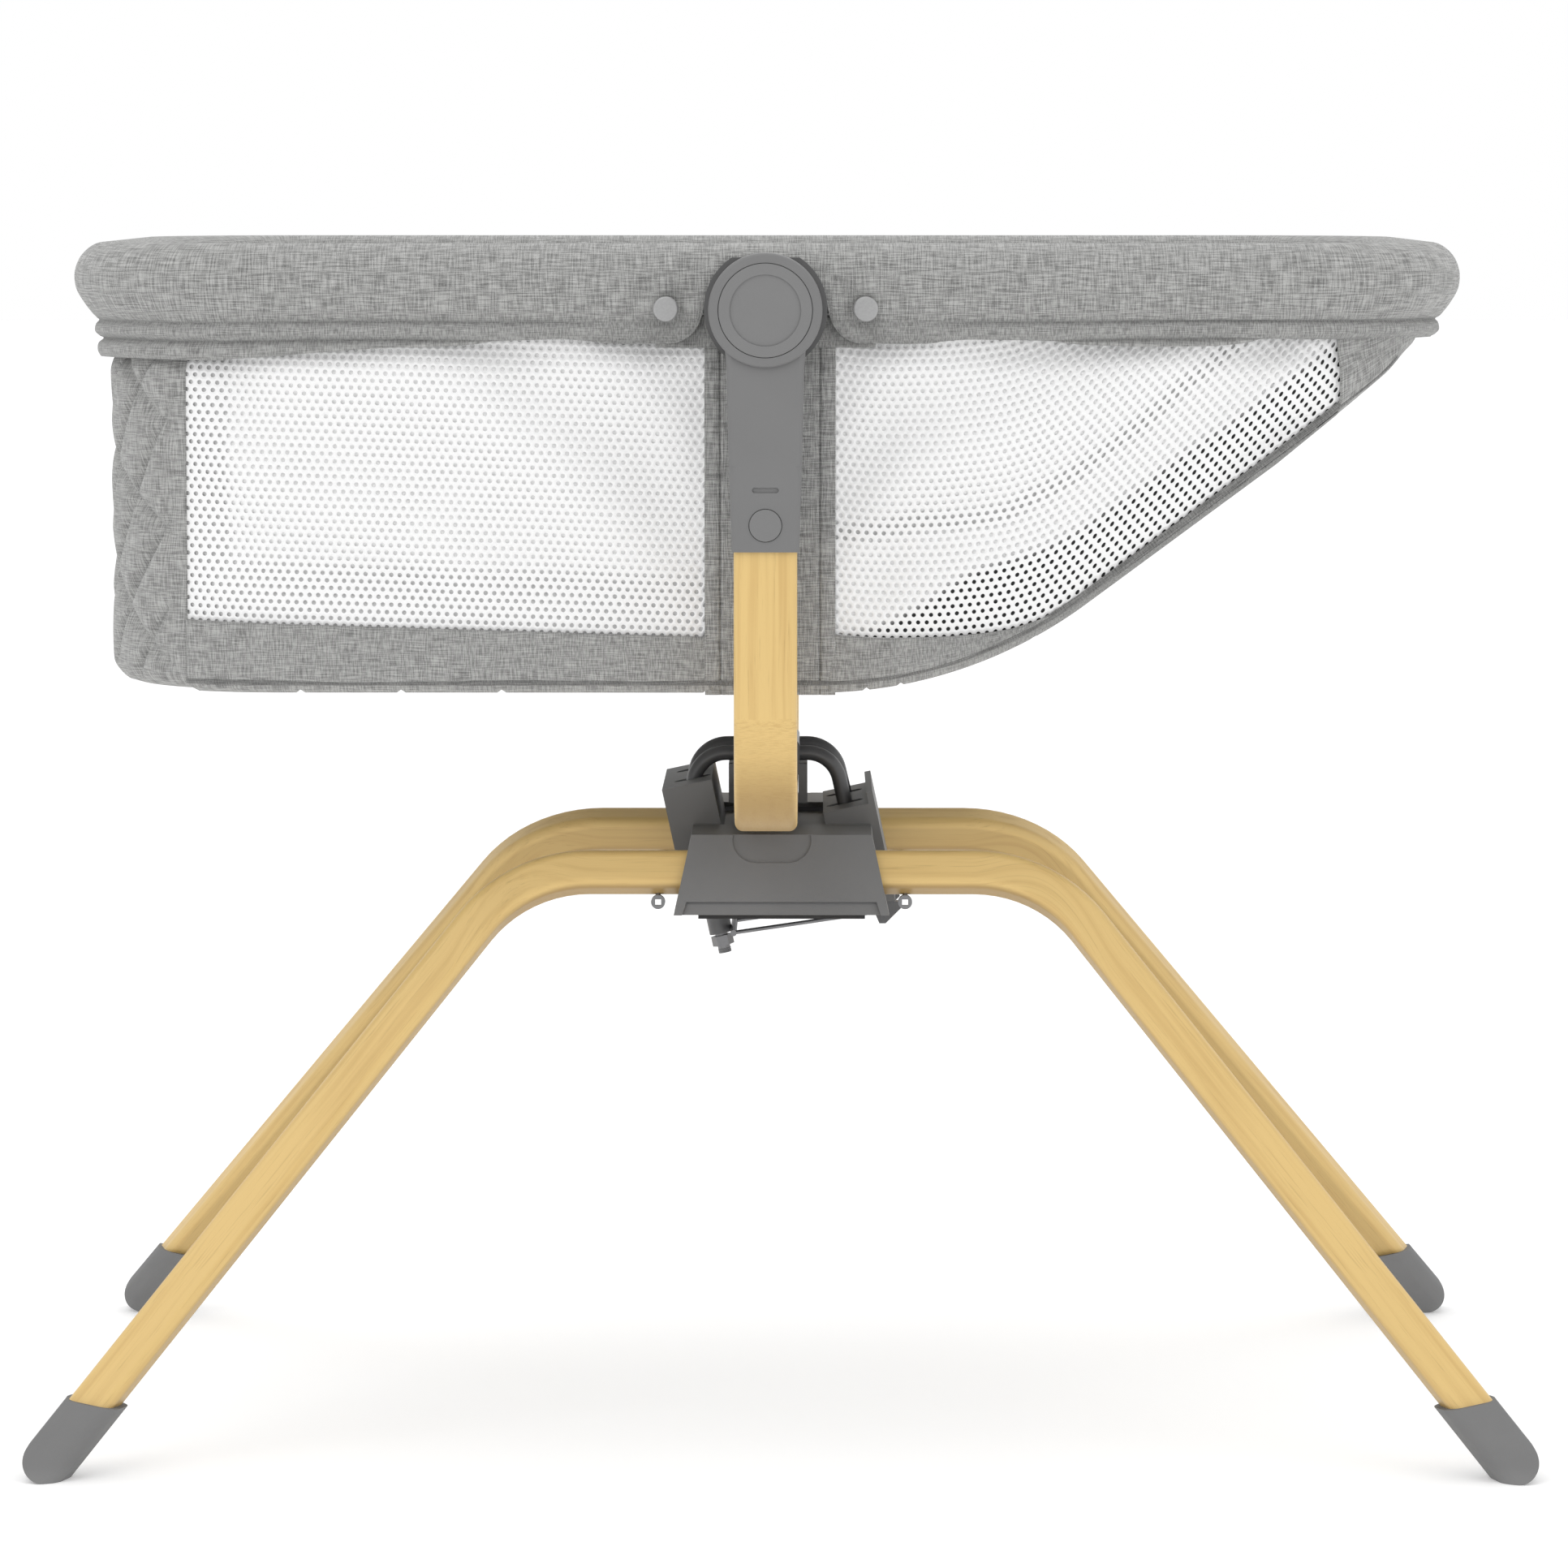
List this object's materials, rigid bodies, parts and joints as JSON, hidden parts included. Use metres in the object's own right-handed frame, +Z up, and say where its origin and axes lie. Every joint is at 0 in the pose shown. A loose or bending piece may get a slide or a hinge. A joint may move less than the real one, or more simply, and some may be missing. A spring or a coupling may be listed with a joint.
{
  "type": "bassinet on stand",
  "caption": "Baby bassinet with mesh sides, one deep end and one sloping end, hung by two round hubs on a bent-wood fork that swings on a splayed wooden stand.",
  "frame": {"origin": "on the floor, at the centre of the four feet", "axes": "+X along the basket towards its sloping end, -Y towards the front, +Z up"},
  "size_m": [0.913, 0.6314, 0.746],
  "materials": {
    "oak": "satin lacquer",
    "steel": "satin",
    "dark_steel": "semi-gloss grey",
    "mesh": "white air mesh",
    "grey_fabric": "grey melange weave",
    "lining": "soft woven cover",
    "board": "raw fibreboard",
    "foot_rubber": "matt",
    "bush": "plain",
    "grey_plastic": "fine satin"
  },
  "bodies": {
    "stand": {"arch_bolts": "steel", "base_pan": "dark_steel", "bearing_blocks": "dark_steel", "eye_bolts": "steel", "front_arch": "oak", "front_left_foot_cap": "foot_rubber", "front_right_foot_cap": "foot_rubber", "front_skirt": "grey_plastic", "left_tower": "grey_plastic", "pivot_post": "dark_steel", "pivot_shaft": "steel", "post_bolt": "steel", "post_nut": "steel", "rear_arch": "oak", "rear_left_foot_cap": "foot_rubber", "rear_right_foot_cap": "foot_rubber", "rear_skirt": "grey_plastic", "right_tower": "grey_plastic", "tie_bracket": "dark_steel", "tie_rods": "steel"},
    "swing_frame": {"front_swing_tube": "dark_steel", "rear_swing_tube": "dark_steel", "swing_yoke": "dark_steel", "yoke_bushes": "bush", "clamp_saddle": "dark_steel", "clamp_plate": "dark_steel", "clamp_bolts": "steel", "cradle_fork": "oak", "front_collar": "grey_plastic", "rear_collar": "grey_plastic"},
    "front_collar_button_body": {"front_collar_button": "grey_plastic"},
    "rear_collar_button_body": {"rear_collar_button": "grey_plastic"},
    "hub_carriers": {"front_hub_carrier": "grey_plastic", "rear_hub_carrier": "grey_plastic", "hub_pins": "steel", "hub_springs": "steel"},
    "front_hub_button_body": {"front_hub_button": "grey_plastic"},
    "rear_hub_button_body": {"rear_hub_button": "grey_plastic"},
    "basket": {"front_rim_bracket": "dark_steel", "rear_rim_bracket": "dark_steel", "bed_rim_tube": "steel", "slope_rim_tube": "steel", "front_rim_cover": "grey_fabric", "rear_rim_cover": "grey_fabric", "bed_rim_cover": "grey_fabric", "slope_rim_cover": "grey_fabric", "snap_studs": "steel", "quilted_end": "grey_fabric", "front_bed_mesh": "mesh", "rear_bed_mesh": "mesh", "front_slope_mesh": "mesh", "rear_slope_mesh": "mesh", "front_centre_band": "grey_fabric", "rear_centre_band": "grey_fabric", "bed_cover": "grey_fabric", "slope_cover": "grey_fabric", "bed_board": "board", "slope_board": "board", "slope_pad": "lining", "mattress": "lining"}
  },
  "joints": [
    {"name": "cradle_swing", "type": "hinge", "parent": "stand", "child": "swing_frame", "pos_m": [0, 0, 0.352], "axis": [0, 1, 0], "range_deg": [-5, 5], "stiffness_Nm_per_rad": 75},
    {"name": "front_collar_press", "type": "slide", "parent": "swing_frame", "child": "front_collar_button_body", "axis": [0, 1, 0], "range_m": [0, 0.0035], "stiffness_N_per_m": 500, "springref_m": -0.001},
    {"name": "rear_collar_press", "type": "slide", "parent": "swing_frame", "child": "rear_collar_button_body", "axis": [0, -1, 0], "range_m": [0, 0.0035], "stiffness_N_per_m": 500, "springref_m": -0.001},
    {"name": "carrier_lift", "type": "slide", "parent": "swing_frame", "child": "hub_carriers", "axis": [0, 0, 1], "range_m": [0, 0.07]},
    {"name": "front_hub_press", "type": "slide", "parent": "hub_carriers", "child": "front_hub_button_body", "axis": [0, 1, 0], "range_m": [0, 0.003], "stiffness_N_per_m": 800, "springref_m": -0.001},
    {"name": "rear_hub_press", "type": "slide", "parent": "hub_carriers", "child": "rear_hub_button_body", "axis": [0, -1, 0], "range_m": [0, 0.003], "stiffness_N_per_m": 800, "springref_m": -0.001},
    {"name": "basket_tilt", "type": "hinge", "parent": "hub_carriers", "child": "basket", "pos_m": [-0.009, 0, 0.704], "axis": [0, 1, 0], "range_deg": [-20, 20]}
  ]
}
